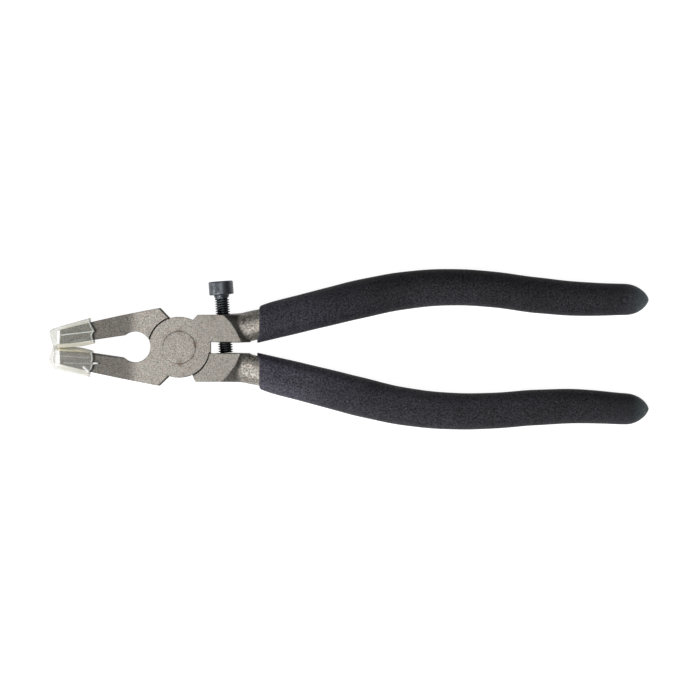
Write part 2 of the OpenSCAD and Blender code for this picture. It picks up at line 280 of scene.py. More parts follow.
def handle_bar(table, x, y, u):
    """Handle steel and neck, drawn on +Y."""
    half = along(table, 2, x)
    thick = half_thickness(table, x)
    section = (np.abs((y - along(table, 1, x)) / half) ** SQUARENESS
               + np.abs(u / thick) ** SQUARENESS) ** (1 / SQUARENESS)
    bar = (section - 1) * np.minimum(half, thick)
    bar = both(bar, x - STEEL_END, BAR_END)
    return both(bar, table[0][0] - x, EDGE)


def forged(x, y, z):
    """Low lumps of an as-forged surface, from -1 to 1."""
    return (np.sin(3.1 * x + 1.3 * np.sin(2.3 * y)) * np.sin(2.9 * y + 1.7 * z)
            * np.sin(3.3 * z + 0.7 * x))


def jaw_half_width(x):
    """Half width of the jaws along Z: the plain joint, a short bend, then the flare."""
    t = FLARE_START - x
    bend = (t + FLARE_BLEND) ** 2 / (4 * FLARE_BLEND)
    return HALF + FLARE_SLOPE * np.where(t > FLARE_BLEND, t, np.where(t < -FLARE_BLEND, 0, bend))


def flared_side(x, u):
    """Distance past a jaw's flared sides."""
    return (np.abs(u) - jaw_half_width(x)) / math.hypot(1, FLARE_SLOPE)


def gripping_face(line, crowned, x, y, u):
    """Distance past a gripping face, negative in the metal: hollow across, or crowned."""
    (x0, y0), (x1, y1) = line
    lean = math.atan2(y1 - y0, x1 - x0)
    above = (y - y0) * math.cos(lean) - (x - x0) * math.sin(lean)
    if crowned:
        return np.hypot(above - FACE_R, u) - FACE_R
    return FACE_R - np.hypot(above + FACE_R, u)


def slant_side(slant, x, y, u):
    """Distance past the slanting shoulder between a tang's flat and its neck, drawn on +Y."""
    side = -np.inf
    for a, b in zip(slant, slant[1:]):
        side = np.maximum(side, past(a, b, x, y))
    low, high = SLANT_DRAFT
    draft = low + (high - low) * ramp(y, SLANT_START, SLANT_FULL)
    return (side - draft * (HALF - np.abs(u))) / np.hypot(1, draft)


def heel_chamfer(outline, x, y, u):
    """Distance past the broken edge along a jaw's heel, drawn on +Y."""
    heel = past(outline[5], outline[6], x, y)
    return (heel + HEEL_SLOPE * (np.abs(u) - HALF) + HEEL_CHAMFER) / math.hypot(1, HEEL_SLOPE)


def pocket_radius(x, y):
    """Radius of a lever's shoulder round the other disc: closest beside the slot."""
    turn = np.arctan2(np.abs(y), x)
    return POCKET_R - POCKET_CLOSER * np.clip(1 - turn / POCKET_TURN, 0, 1)


def jaw_part(lever, x, y, u):
    """A lever's jaw, drawn on +Y."""
    jaw = both(polygon(lever.jaw, x, y), flared_side(x, u), EDGE)
    jaw = both(jaw, heel_chamfer(lever.jaw, x, y, u), HEEL_EDGE)
    cut = np.minimum(gripping_face(lever.face, lever.crowned, x, y, u), FACE_END - x)
    return both(jaw, cut, EDGE)


def slot_block(lever, x, y, layer):
    """Steel in a disc's own layer that fills the room between the disc and the slot."""
    low, high = lever.block
    block = np.maximum(BLOCK_X - x, np.abs(y - (low + high) / 2) - (high - low) / 2)
    return both(np.maximum(block, x - SLOT_END_X), layer, EDGE / 2)


def rivet_hole(play, rho, own):
    """Hole for the rivet's shank, and the counterbore for its head on a lever's own side."""
    counterbore = np.maximum(rho - RIVET_HEAD_R - play, HALF - RIVET_HEAD_H - own)
    return np.minimum(rho - RIVET_R - play, counterbore)


def tapped_hole(x, y, u):
    """Hole for the stop screw, on the upper side of the centre line."""
    reach = (x - SCREW_X) * SCREW_AXIS[0] + y * SCREW_AXIS[1]
    aside = (x - SCREW_X) * SCREW_AXIS[1] - y * SCREW_AXIS[0]
    return np.maximum(np.hypot(aside, u) - TAPPED_R, -reach)


def lever_field(lever):
    """Field of one lever's steel. jaw_side is its jaw's side in Y, disc_side its disc's side in Z."""
    def field(x, y, z):
        u = z - MID
        own = lever.disc_side * u
        jaw_y, tang_y = lever.jaw_side * y, -lever.jaw_side * y
        rho = np.hypot(x, y)
        side = slant_side(lever.slant, x, tang_y, u)
        tang = both(both(polygon(lever.tang, x, tang_y), side, EDGE), np.abs(u) - HALF, EDGE)
        neck = handle_bar(lever.handle, x, tang_y, u)
        neck = neck + LUMP_H * forged(x, y, z) * ramp(x, LUMPS_X, LUMPS_X + 2)
        body = np.minimum(jaw_part(lever, x, jaw_y, u), either(tang, neck, NECK_FILLET))
        pocket = np.maximum(rho - pocket_radius(x, y), own - FACE_GAP)
        body = without(body, pocket, POCKET_EDGE)
        layer = np.maximum(FACE_GAP - own, own - HALF)
        disc = both(rho - DISC_R, layer, EDGE / 2)
        steel = np.minimum(np.minimum(body, disc), slot_block(lever, x, y, layer))
        steel = without(steel, np.hypot(x - THROAT[0], y - THROAT[1]) - THROAT_R, EDGE)
        steel = without(steel, rivet_hole(lever.rivet_play, rho, own), HOLE_EDGE)
        if lever.tapped:
            steel = without(steel, tapped_hole(x, y, u), EDGE / 2)
        return steel
    return field


def nearest_crease(creases, x, y):
    """How strongly a crease of a cover passes a point, from 0."""
    strongest = 0.0
    for (ax, ay), (bx, by), width, strength in creases:
        ex, ey = bx - ax, by - ay
        share = np.clip(((x - ax) * ex + (y - ay) * ey) / (ex * ex + ey * ey), 0, 1)
        away = np.hypot(x - ax - ex * share, y - ay - ey * share)
        strongest = np.maximum(strongest, strength * fade(away, width))
    return strongest


def mouth_x(mouth, y, u):
    """Where a cover's mouth edge lies, ragged as a knife leaves it."""
    xs, ys = zip(*mouth)
    return np.interp(y, ys, xs) + RAGGED * np.sin(0.9 * u) * (np.abs(u) < JAW_HALF_W - 1)


def cover_field(cover):
    """Field of a jaw cover: a closed-ended shell round the jaw, with a pad over its gripping face."""
    def field(x, y, z):
        u = z - MID
        cy = cover.side * y
        beside = flared_side(x, u)
        ridge = CREASE_H * nearest_crease(cover.creases, x, cy)
        shell = past(cover.walls[0], cover.walls[1], x, cy)
        for a, b in zip(cover.walls[1:], cover.walls[2:]):
            shell = both(shell, past(a, b, x, cy), cover.corner)
        tip = np.abs(u) - JAW_HALF_W - COVER_WALL
        shell = both(shell, both(beside - COVER_WALL - ridge, tip, COVER_TIP), COVER_SIDE)
        bend = PAD_BEND * ramp(x, PAD_BEND_X, MOUTH_X) ** 1.5
        pad = gripping_face(cover.pad, cover.crowned, x, cy - bend, u)
        pad_x, pad_y = cover.pad[0]
        level = gripping_face([(pad_x, pad_y), (pad_x + 1, pad_y)], cover.crowned, x, cy, u)
        shell = both(shell, np.maximum(pad, level), PAD_EDGE)
        shell = both(shell, x - mouth_x(cover.mouth, cy, u), CUT_EDGE)
        roof = past(cover.jaw[1], cover.jaw[2], x, cy)
        room = both(cover.room_end - x, roof - SEAT_GAP, ROOM_END)
        room = both(room, beside - SEAT_GAP - ridge * 0.7, ROOM_SIDE)
        room = both(room, gripping_face(cover.face, cover.crowned, x, cy, u) - SEAT_GAP, ROOM_FACE)
        return without(shell, room, CUT_EDGE)
    return field


# ---- meshes ------------------------------------------------------------------
def add_object(name, data):
    """New object in the scene."""
    added = bpy.data.objects.new(name, data)
    bpy.context.scene.collection.objects.link(added)
    return added


def make_object(name, points, quads, normals=None, attributes=()):
    """Mesh object from points in millimetres and rows of four corners.

    A row whose last corner is repeated makes a triangle."""
    mesh = bpy.data.meshes.new(name)
    triangle = quads[:, 2] == quads[:, 3]
    counts = np.where(triangle, 3, 4)
    keep = np.ones(quads.shape, bool)
    keep[triangle, 3] = False
    corners = quads[keep]
    mesh.vertices.add(len(points))
    mesh.vertices.foreach_set("co", (points * MM).astype(np.float32).ravel())
    mesh.loops.add(len(corners))
    mesh.loops.foreach_set("vertex_index", corners.astype(np.int32))
    mesh.polygons.add(len(quads))
    mesh.polygons.foreach_set("loop_start", (np.cumsum(counts) - counts).astype(np.int32))
    mesh.update(calc_edges=True)
    mesh.validate()
    mesh.polygons.foreach_set("use_smooth", np.ones(len(mesh.polygons), bool))
    for label, values in attributes:
        stored = mesh.attributes.new(label, "FLOAT", "POINT")
        stored.data.foreach_set("value", values.astype(np.float32))
    if normals is not None:
        mesh.normals_split_custom_set_from_vertices(normals)
    return add_object(name, mesh)


def slope_of(field, points, step=0.02):
    """Gradient of a field at points."""
    parts = []
    for direction in np.eye(3) * step:
        parts.append(field(*(points + direction).T) - field(*(points - direction).T))
    return np.stack(parts, 1) / (2 * step)


def settle(field, points, rounds=3, furthest=0.15):
    """Moves points onto the surface where the field is zero."""
    for _ in range(rounds):
        slope = slope_of(field, points)
        shift = slope * (field(*points.T) / np.maximum((slope ** 2).sum(1), 0.2))[:, None]
        length = np.linalg.norm(shift, axis=1)[:, None]
        points = points - shift * np.minimum(1, furthest / np.maximum(length, 1e-9))
    return points


def surface_net(field, xs, ys, zs):
    """Points and quads of the closed surface where a field is zero, on the grid planes xs, ys, zs.

    Each cell that the surface passes gets one point, the mean of the crossings on its edges, and each
    crossed grid edge gets a quad between the four cells round it."""
    value = np.empty((len(xs), len(ys), len(zs)), np.float32)
    for i in range(0, len(xs), 40):
        value[i:i + 40] = field(xs[i:i + 40, None, None], ys[None, :, None], zs[None, None, :])
    inside = value < 0
    corners = np.array([(a, b, c) for a in (0, 1) for b in (0, 1) for c in (0, 1)])
    some, every = False, True
    for dx, dy, dz in corners:
        part = inside[dx:len(xs) - 1 + dx, dy:len(ys) - 1 + dy, dz:len(zs) - 1 + dz]
        some, every = some | part, every & part
    cells = np.argwhere(some & ~every)
    number = np.full(some.shape, -1, np.int32)
    number[tuple(cells.T)] = np.arange(len(cells))
    total, count = np.zeros((len(cells), 3)), np.zeros(len(cells))
    planes = (xs, ys, zs)
    for p in corners:
        for axis in range(3):
            if p[axis]:
                continue
            q = p.copy()
            q[axis] = 1
            at_p, at_q = cells + p, cells + q
            vp, vq = value[tuple(at_p.T)], value[tuple(at_q.T)]
            hit = (vp < 0) != (vq < 0)
            share = np.where(hit, vp / np.where(hit, vp - vq, 1), 0)
            for k in range(3):
                start, stop = planes[k][at_p[:, k]], planes[k][at_q[:, k]]
                total[:, k] += np.where(hit, start + share * (stop - start), 0)
            count += hit
    points = total / count[:, None]
    quads = []
    for axis in range(3):
        first, second = (axis + 1) % 3, (axis + 2) % 3
        lower = [slice(1, -1)] * 3
        upper = [slice(1, -1)] * 3
        lower[axis], upper[axis] = slice(0, -1), slice(1, None)
        a, b = inside[tuple(lower)], inside[tuple(upper)]
        edges = np.argwhere(a != b)
        outward = a[tuple(edges.T)]
        base = edges.copy()
        base[:, first] += 1
        base[:, second] += 1
        ring = []
        for d1, d2 in ((-1, -1), (0, -1), (0, 0), (-1, 0)):
            cell = base.copy()
            cell[:, first] += d1
            cell[:, second] += d2
            ring.append(number[tuple(cell.T)])
        ring = np.stack(ring, 1)
        quads.append(np.where(outward[:, None], ring, ring[:, ::-1]))
    return points, np.concatenate(quads)


def field_piece(name, field, xs, ys, zs, attributes=()):
    """Object whose surface is where the field is zero.

    attributes are (label, function of the points and normals)."""
    points, quads = surface_net(field, xs, ys, zs)
    points = settle(field, points)
    slope = slope_of(field, points, 0.01)
    normals = slope / np.maximum(np.linalg.norm(slope, axis=1), 1e-9)[:, None]
    extra = [(label, value(points, normals)) for label, value in attributes]
    return make_object(name, points, quads, normals, extra)


def ring_piece(name, rings, attributes=()):
    """Object from rings of points, each joined to the next. A ring of equal points is a pole.

    attributes are (label, one row of values for each ring)."""
    rings = np.array(rings)
    n, sides = rings.shape[:2]
    points, start, extra = [], [], [[] for _ in attributes]
    for i, ring in enumerate(rings):
        start.append((sum(len(p) for p in points), np.ptp(ring, axis=0).max() < 1e-6))
        kept = 1 if start[-1][1] else sides
        points.append(ring[:kept])
        for found, (_, values) in zip(extra, attributes):
            found.append(values[i][:kept])
    attributes = [(label, np.concatenate(found)) for found, (label, _) in zip(extra, attributes)]
    k = np.arange(sides)
    after = (k + 1) % sides
    quads = []
    for i in range(n - 1):
        (a, a_pole), (b, b_pole) = start[i], start[i + 1]
        a0, a1 = (a + 0 * k, a + 0 * k) if a_pole else (a + k, a + after)
        b0, b1 = (b + 0 * k, b + 0 * k) if b_pole else (b + k, b + after)
        quads.append(np.stack([a0, b0, a1 if b_pole else b1, b1 if a_pole else a1], 1))
    return make_object(name, np.concatenate(points), np.concatenate(quads), None, attributes)


# ---- materials ---------------------------------------------------------------
def rgb(red, green, blue):
    return (red, green, blue, 1.0)


STEEL_WARM = rgb(0.300, 0.262, 0.232)
STEEL_COOL = rgb(0.268, 0.266, 0.240)
RIVET_STEEL = rgb(0.278, 0.258, 0.232)
STAIN_BROWN = rgb(0.120, 0.088, 0.062)
GRIP_BLACK = rgb(0.0146, 0.0141, 0.0168)
GRIP_MOUTH = rgb(0.0150, 0.0142, 0.0182)
# Painted sheen on the grips' tips.
GRIP_TIP_SHEEN = rgb(0.0130, 0.0154, 0.0162)
SPECK_GREY = rgb(0.25, 0.25, 0.24)
OXIDE_DARK = rgb(0.052, 0.058, 0.066)
OXIDE_LIGHT = rgb(0.112, 0.122, 0.134)
# Painted light on the covers' steep outer faces.
SIDE_LIGHT_WHITE = rgb(0.78, 0.78, 0.72)
# Painted highlights on the covers.
HIGHLIGHT_WHITE = rgb(0.93, 0.95, 0.95)


class Nodes:
    """Short calls for the nodes of their owner, a material or the world."""

    def __init__(self, owner):
        owner.use_nodes = True
        self.owner, self.tree = owner, owner.node_tree

    def node(self, kind, inputs=None, **settings):
        """New node with its settings, then its inputs by name or number."""
        made = self.tree.nodes.new(kind)
        for key, value in settings.items():
            setattr(made, key, value)
        for key, value in (inputs or {}).items():
            self.feed(made.inputs[key], value)
        return made

    def feed(self, socket, value):
        """Links another node's output to a socket, or sets the socket's own value."""
        if isinstance(value, bpy.types.NodeSocket):
            self.tree.links.new(value, socket)
        else:
            socket.default_value = value

    def remap(self, value, low, high, to_low=0.0, to_high=1.0, kind="LINEAR"):
        """Value moved from the range low to high to another range, and kept inside it."""
        return self.node("ShaderNodeMapRange", {
            "Value": value, "From Min": low, "From Max": high, "To Min": to_low,
            "To Max": to_high}, interpolation_type=kind).outputs["Result"]


class Shader(Nodes):
    """A material and the calls for the nodes used here."""

    def __init__(self, name):
        super().__init__(bpy.data.materials.new(name))
        self.bsdf = self.tree.nodes["Principled BSDF"]
        self.place = self.node("ShaderNodeTexCoord").outputs["Object"]

    def surface(self, **values):
        """Feeds inputs of the Principled node, their spaces written as underscores."""
        for key, value in values.items():
            self.feed(self.bsdf.inputs[key.replace("_", " ")], value)

    def attribute(self, label):
        return self.node("ShaderNodeAttribute", attribute_name=label).outputs["Fac"]

    def along_x(self, start, stop, *rest):
        """X remapped, its range in millimetres."""
        x = self.node("ShaderNodeSeparateXYZ", {0: self.place}).outputs["X"]
        return self.remap(x, start * MM, stop * MM, *rest)

    def noise(self, scale, detail=3.0, roughness=0.55, offset=0.0, stretch=(1, 1, 1),
              turned=(0.5, 0.8, 0.3)):
        """Noise in the object's metres. Most of it lies between 0.3 and 0.7."""
        shift = self.node("ShaderNodeMapping", {
            "Vector": self.place, "Location": (offset, offset * 0.7, offset * 1.3),
            "Rotation": turned, "Scale": stretch})
        return self.node("ShaderNodeTexNoise", {
            "Vector": shift.outputs[0], "Scale": scale, "Detail": detail,
            "Roughness": roughness}).outputs["Fac"]

    def math(self, operation, a, b):
        return self.node("ShaderNodeMath", {0: a, 1: b}, operation=operation).outputs[0]

    def add(self, a, b):
        return self.math("ADD", a, b)

    def times(self, a, b):
        return self.math("MULTIPLY", a, b)

    def blend(self, share, a, b):
        """Number between a and b."""
        return self.node("ShaderNodeMix", {0: share, 2: a, 3: b}, data_type="FLOAT").outputs[0]

    def mix(self, share, a, b):
        """Colour between a and b."""
        return self.node("ShaderNodeMix", {0: share, 6: a, 7: b}, data_type="RGBA").outputs[2]

    def scale(self, colour, by):
        inputs = {0: colour, "Scale": by}
        return self.node("ShaderNodeVectorMath", inputs, operation="SCALE").outputs[0]

    def bump(self, height, distance, strength):
        inputs = {"Strength": strength, "Distance": distance, "Height": height}
        self.surface(Normal=self.node("ShaderNodeBump", inputs).outputs[0])


def steel_surface(look, grain, colour, shade):
    """What all the bare steel shares: brown stains, and a sheen that follows the grain."""
    colour = look.mix(look.times(look.attribute("stain"), 0.95), colour, STAIN_BROWN)
    look.surface(Base_Color=look.scale(colour, shade), Metallic=0.75,
                 Roughness=look.remap(grain, 0.3, 0.7, 0.42, 0.58))


def steel_material(name):
    """Bead-blasted steel: fine grain on the plates, coarse sparkle on the necks, times the stored tone with
    its painted shade, which darkens the flared jaws.
    """
    look = Shader(name)
    grain = look.noise(2250, 2, 0.7)
    hue = look.noise(900, 2, 0.6, 3.0)
    coarse = look.noise(1500, 3, 0.7, 7.0)
    neck = look.along_x(18.5, 21.5)
    spread = look.along_x(-19, -13, 0.5, 0.6)
    plate = look.add(look.times(look.remap(grain, 0.32, 0.68, -1.0, 1.0), spread), 1.0)
    sparkle = look.remap(coarse, 0.32, 0.68, 0.25, 1.85)
    # The stored tone carries painted shade.
    shade = look.times(look.blend(neck, plate, sparkle), look.attribute("tone_and_shade"))
    steel_surface(look, grain, look.mix(look.remap(hue, 0.3, 0.7), STEEL_WARM, STEEL_COOL), shade)
    height = look.add(look.times(grain, 0.5), look.times(look.times(coarse, neck), 2.5))
    look.bump(height, 0.06 * MM, 0.5)
    return look.owner


def rivet_material():
    """Ground rivet head, a little browner in places round its rim."""
    look = Shader("rivet_ground_steel")
    grain = look.noise(2250, 2, 0.7, 11.0)
    steel_surface(look, grain, RIVET_STEEL, look.remap(grain, 0.32, 0.68, 0.4, 1.6))
    look.bump(grain, 0.04 * MM, 0.5)
    return look.owner


def grip_material():
    """Matt dipped vinyl: a fine pebbled skin, lighter towards the mouth, with a few pale specks, painted
    light and shade from the stored values and a painted sheen at the tip.
    """
    look = Shader("grip_dipped_vinyl")
    grain = look.noise(1900, 3, 0.7, 2.0)
    specks = look.remap(look.noise(1100, 1, 0.5, 9.0), 0.80, 0.84)
    broad = look.noise(70, 3, 0.5, 4.0)
    front = look.along_x(27, 75, 1.0, 0.0, "SMOOTHSTEP")
    smoother = look.along_x(140, 150)
    pebbles = look.blend(smoother, look.remap(grain, 0.32, 0.68, 0.0, 2.3),
                         look.remap(grain, 0.32, 0.68, 0.6, 1.5))
    tone_and_shade = look.times(pebbles, look.remap(broad, 0.3, 0.7, 0.88, 1.1))
    # The stored values are painted light and shade.
    tone_and_shade = look.times(look.times(tone_and_shade, look.attribute("painted_light")), look.remap(front, 0.0, 1.0, 1.0, 1.75))
    colour = look.mix(front, GRIP_BLACK, GRIP_MOUTH)
    # Painted sheen towards the tip.
    colour = look.mix(look.along_x(150, 156), colour, GRIP_TIP_SHEEN)
    colour = look.mix(specks, look.scale(colour, tone_and_shade), SPECK_GREY)
    look.surface(Base_Color=colour, Metallic=0.0, Specular_IOR_Level=0.1,
                 Roughness=look.remap(grain, 0.3, 0.7, 0.75, 0.6))
    look.bump(grain, 0.12 * MM, 0.6)
    return look.owner


def oxide_material():
    """Black oxide on the stop screw, bluish and slightly mottled, with painted shade in the thread's
    grooves.
    """
    look = Shader("screw_black_oxide")
    mottle = look.noise(650, 4, 0.6, 1.0)
    colour = look.mix(look.remap(mottle, 0.35, 0.65), OXIDE_DARK, OXIDE_LIGHT)
    # Painted shade, deepest in the thread's grooves.
    shade = look.remap(look.attribute("groove_shade"), 0.0, 1.0, 1.0, 0.1)
    look.surface(Base_Color=look.scale(colour, shade), Metallic=0.7,
                 Roughness=look.remap(mottle, 0.3, 0.7, 0.3, 0.46))
    look.bump(mottle, 0.04 * MM, 0.35)
    return look.owner


def vinyl_material(name, body, pad):
    """Clear soft vinyl: thin walls show the steel, thick walls look milky, cut edges, folds and a glint get
    milky painted highlights, and steep outer faces painted light.
    """
    look = Shader(name)
    milk = look.attribute("milk")
    haze = look.noise(420, 3, 0.6)
    streak = look.noise(1, 3, 0.6, 0.0, (110, 1700, 1700), (0, 0, 0.1))
    share = look.add(milk, look.remap(haze, 0.3, 0.7, -0.03, 0.03))
    share = look.add(share, look.remap(streak, 0.35, 0.65, -0.04, 0.04))
    share = look.remap(share, 0.0, 1.0)
    colour = body
    # Over the body colour: the pads' cream, painted light on the steep outer faces, then painted highlights.
    for label, tint in (("cream", pad), ("painted_side_light", SIDE_LIGHT_WHITE), ("painted_highlight", HIGHLIGHT_WHITE)):
        colour = look.mix(look.attribute(label), colour, tint)
    look.surface(Base_Color=colour, Roughness=0.22, Specular_IOR_Level=0.15)
    look.bump(haze, 0.1 * MM, 0.25)
    clear = look.node("ShaderNodeBsdfTransparent").outputs[0]
    gloss = look.node("ShaderNodeFresnel", {"IOR": 1.3}).outputs[0]
    shine = look.times(gloss, look.remap(milk, -0.4, 0.0, 0.0, 0.6))
    seen = look.math("MAXIMUM", share, shine)
    mixed = look.node("ShaderNodeMixShader", {0: seen, 1: clear, 2: look.bsdf.outputs[0]})
    look.feed(look.tree.nodes["Material Output"].inputs["Surface"], mixed.outputs[0])
    return look.owner


# ---- pieces ------------------------------------------------------------------
STAINS = [(5.5, 1.7, 0.8, 0.8), (5.4, 0.4, 0.6, 0.9), (0.2, -5.6, 1.0, 0.9), (4.6, -3.2, 0.7, 0.6),
          (3.6, -6.9, 0.5, 0.7), (3.6, 3.1, 0.5, 0.5), (-4.6, 3.3, 1.2, 0.35), (0, 5.7, 1.4, 0.3),
          (11.5, 10.2, 1.0, 0.4), (1.2, -9.2, 0.8, 0.3)]
# Tone along X, partly painted shade: darker towards the flared jaws' tips and over the tangs and necks.
STEEL_TONE_AND_SHADE = [(-22, 0.93), (-13, 1.08), (0, 0.98), (12, 0.85), (20, 0.85), (27, 1.0)]


def finish_piece(piece, node, body, material):
    """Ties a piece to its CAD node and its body."""
    piece.data.materials.append(material)
    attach(piece, body)
    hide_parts(node)


def spaced(start, stop, step):
    """Even grid planes from start to at least stop."""
    return start + step * np.arange(int(math.ceil((stop - start) / step)) + 1)


def circle(sides):
    """Angles evenly round a turn."""
    return np.arange(sides) / sides * 2 * math.pi


def stained(points):
    """How brown the joint's front face is: STAINS has its marks as (x, y, radius, strength)."""
    total = 0
    for x, y, radius, strength in STAINS:
        total = total + strength * fade(np.hypot(points[:, 0] - x, points[:, 1] - y), radius)
    return np.clip(total, 0, 1) * (points[:, 2] > JOINT_T - 0.3)


def lever_piece(lever):
    """One steel lever: fine where it shows, coarse inside the grip."""
    field = lever_field(lever)

    def open_above(points, normals, reach):
        """How clear of other steel the air above a surface is, from 0 to 1."""
        return np.clip(field(*(points + normals * reach).T) / reach, 0, 1)

    def tone_and_shade(points, normals):
        """Painted shade along X, on the forged sides, the shoulders, the heel's edge, the gap round the
        disc, creases and recesses; painted light and shade across the necks; a painted shadow past a cover's
        edge.
        """
        x, u = points[:, 0], points[:, 2] - MID
        jaw_y, tang_y = lever.jaw_side * points[:, 1], -lever.jaw_side * points[:, 1]
        flat = np.abs(normals[:, 2])
        # Painted shade on steep faces short of the necks.
        steep_shade = ramp(flat, 0.8, 0.5) * ramp(x, 21, 19)
        shade = read(STEEL_TONE_AND_SHADE, x) * (1 - 0.5 * steep_shade)
        # Painted shade along the slanting shoulder, by the scale table.
        shoulder = fade(slant_side(lever.slant, x, tang_y, u), 0.16) * (tang_y > 1.6) * (tang_y < 10.9)
        shade *= 1 - read(lever.scale, tang_y) * shoulder * (np.abs(u) < HALF - 0.12)
        # Painted light and shade across the necks, by the neck table.
        shade *= 1 + ramp(x, 20.5, 22) * (read(lever.neck, tang_y) - 1)
        # Painted shade: a dark line along the heel's broken edge.
        heel = fade(heel_chamfer(lever.jaw, x, jaw_y, u), 0.1) * (jaw_y > 9.5) * (x > -9)
        shade *= 1 - 0.8 * heel
        # Painted shade in the gap round the disc.
        gap_shade = (np.abs(np.hypot(x, points[:, 1]) - DISC_R) < 0.42) * (flat < 0.6)
        shade *= 1 - 0.7 * gap_shade
        # Painted shade where other steel lies close above the surface.
        near, far = open_above(points, normals, 0.8), open_above(points, normals, 2.5)
        shade *= 0.45 + 0.3 * near + 0.25 * far
        # Painted shadow of the cover's edge on the bare jaw just past its mouth.
        cover_edge_shadow = fade(x - mouth_x(lever.cover_mouth, jaw_y, u) - 0.35, 0.45) * (jaw_y > 0)
        return shade * (1 - 0.82 * cover_edge_shadow)

    xs = np.concatenate([spaced(-40.9, 29, FINE), spaced(30, 156, COARSE)])
    ys = np.concatenate([spaced(-14, 14, FINE), spaced(14.6, 27.5, COARSE_Y)])
    if lever.jaw_side > 0:
        ys = -ys[::-1]
    zs = spaced(MID - JAW_HALF_W - 0.7, MID + JAW_HALF_W + 0.7, FINE)
    attributes = [("tone_and_shade", tone_and_shade), ("stain", lambda points, normals: stained(points))]
    piece = field_piece(lever.node + "_forged", field, xs, ys, zs, attributes)
    material = steel_material(lever.node + "_blasted_steel")
    finish_piece(piece, lever.node, lever.body, material)


def rivet_piece():
    """Lathe-turned rivet: two flush heads with a fine broken edge, and the shank between them."""
    head, chamfer = RIVET_HEAD_R, RIVET_CHAMFER
    profile = [(0, 0), (head - chamfer, 0), (head - chamfer * 0.3, chamfer * 0.3), (head, chamfer),
               (head, RIVET_HEAD_H), (RIVET_R, RIVET_HEAD_H)]
    profile += [(radius, JOINT_T - height) for radius, height in profile[::-1]]
    fine = []
    for (a, h), (b, k) in zip(profile, profile[1:]):
        steps = 12 if abs(a - b) > 2 else 2
        fine += [(a + (b - a) * i / steps, h + (k - h) * i / steps) for i in range(steps)]
    fine.append(profile[-1])
    turn = circle(128)
    rings = [np.stack([-radius * np.cos(turn), radius * np.sin(turn), 0 * turn + height], 1)
             for radius, height in fine]
    piece = ring_piece("pivot_rivet_ground", rings, [("stain", [stained(ring) for ring in rings])])
    finish_piece(piece, "pivot_rivet", "front_half", rivet_material())


def screw_piece():
    """Socket cap screw with its real thread and hexagon socket, ring by ring from its point."""
    turn = circle(120)
    under_head = SCREW_POINT + SCREW_L
    top = under_head + HEAD_H
    across = np.array([math.cos(SCREW_LEAN), math.sin(SCREW_LEAN), 0])
    centre = np.array([SCREW_X, 0, MID])
    rings, groove_shades = [], []

    def ring(radius, reach, groove_shade=0.0):
        """Adds a ring at a reach along the axis, with the painted shade of the thread's groove there."""
        radius, reach = radius + 0 * turn, reach + 0 * turn
        points = (centre + np.outer(reach, SCREW_AXIS) + np.outer(radius * np.cos(turn), across)
                  + np.outer(radius * np.sin(turn), (0, 0, -1)))
        rings.append(points[::-1])
        groove_shades.append((groove_shade + 0 * turn)[::-1])

    ring(0, SCREW_POINT)
    ring(1.2, SCREW_POINT)
    for reach in np.arange(SCREW_POINT, under_head - THREAD_END, THREAD_RING):
        phase = (reach / PITCH - turn / (2 * math.pi)) % 1
        crest = np.clip((np.abs(2 * phase - 1) - 0.22) / 0.5, 0, 1)
        radius = THREAD_R - THREAD_DEPTH * (1 - crest)
        # Painted shade: the grooves, and over the whole thread where it lies in the slot.
        groove_shade = 1 - crest if reach > SLOT_TOP + 1.5 else np.maximum(1 - crest, 0.55)
        ring(np.minimum(radius, 2 + 1.5 * (reach - SCREW_POINT)), reach, groove_shade)
    for below, radius in ((1.15, 2.2), (0.95, 2.36), (0.55, 2.5), (0.25, 2.62), (0.08, 2.72), (0, 2.9)):
        ring(radius, under_head - below)
    for inset, above in ((0.3, 0), (0.08, 0.08), (0, 0.3)):
        ring(HEAD_R - inset, under_head + above)
    for above in np.linspace(0.6, HEAD_H - HEAD_BEVEL - 0.1, 8):
        ring(HEAD_R, under_head + above)
    for inset, below in ((0.03, HEAD_BEVEL - 0.1), (0.14, HEAD_BEVEL * 0.45), (HEAD_BEVEL, 0)):
        ring(HEAD_R - inset, top - below)
    flat = SOCKET_AF / 2
    hexagon = flat / np.cos((turn + math.pi / 6) % (math.pi / 3) - math.pi / 6)
    ring(3.2, top)
    ring(flat * 1.25, top)
    ring(np.minimum(hexagon * 1.05, flat * 1.22), top)
    ring(hexagon, top - 0.12)
    ring(hexagon, top - SOCKET_DEPTH)
    ring(1.4, top - SOCKET_DEPTH - 0.05)
    ring(0, top - SOCKET_DEPTH - 0.5)
    piece = ring_piece("adjusting_screw_threaded", rings, [("groove_shade", groove_shades)])
    finish_piece(piece, "adjusting_screw", "stop_screw", oxide_material())


def power(value, exponent):
    """A power that keeps the sign."""
    return np.sign(value) * np.abs(value) ** exponent


def dent(grip, x, y):
    """How deep a point lies in a grip's ring-shaped dent, from 0 to 1."""
    if grip.dent is None:
        return 0
    return fade(np.hypot(x - grip.dent[0], y - grip.dent[1]) - DENT_R, DENT_WIDTH)


def grip_painted_light(grip, x, y):
    """Painted light and shade on the skin at a point, from the grip's table: towards each side, much lighter
    at the tip, darker in the dent and lighter in its middle.
    """
    at, level, up, down = zip(*grip.wear)
    across = grip.side * (y - along(grip.handle, 1, x)) / (along(grip.handle, 2, x) + GRIP_WALL)
    value = np.interp(x, at, level) * (1 + np.maximum(across, 0) * np.interp(x, at, up)
                                       + np.maximum(-across, 0) * np.interp(x, at, down))
    if grip.dent is None:
        return value
    # Painted shade in the dent and painted light in its middle.
    middle = fade(np.hypot(x - grip.dent[0], y - grip.dent[1]), 0.5)
    return value * (1 - 0.28 * dent(grip, x, y) + 0.35 * middle)


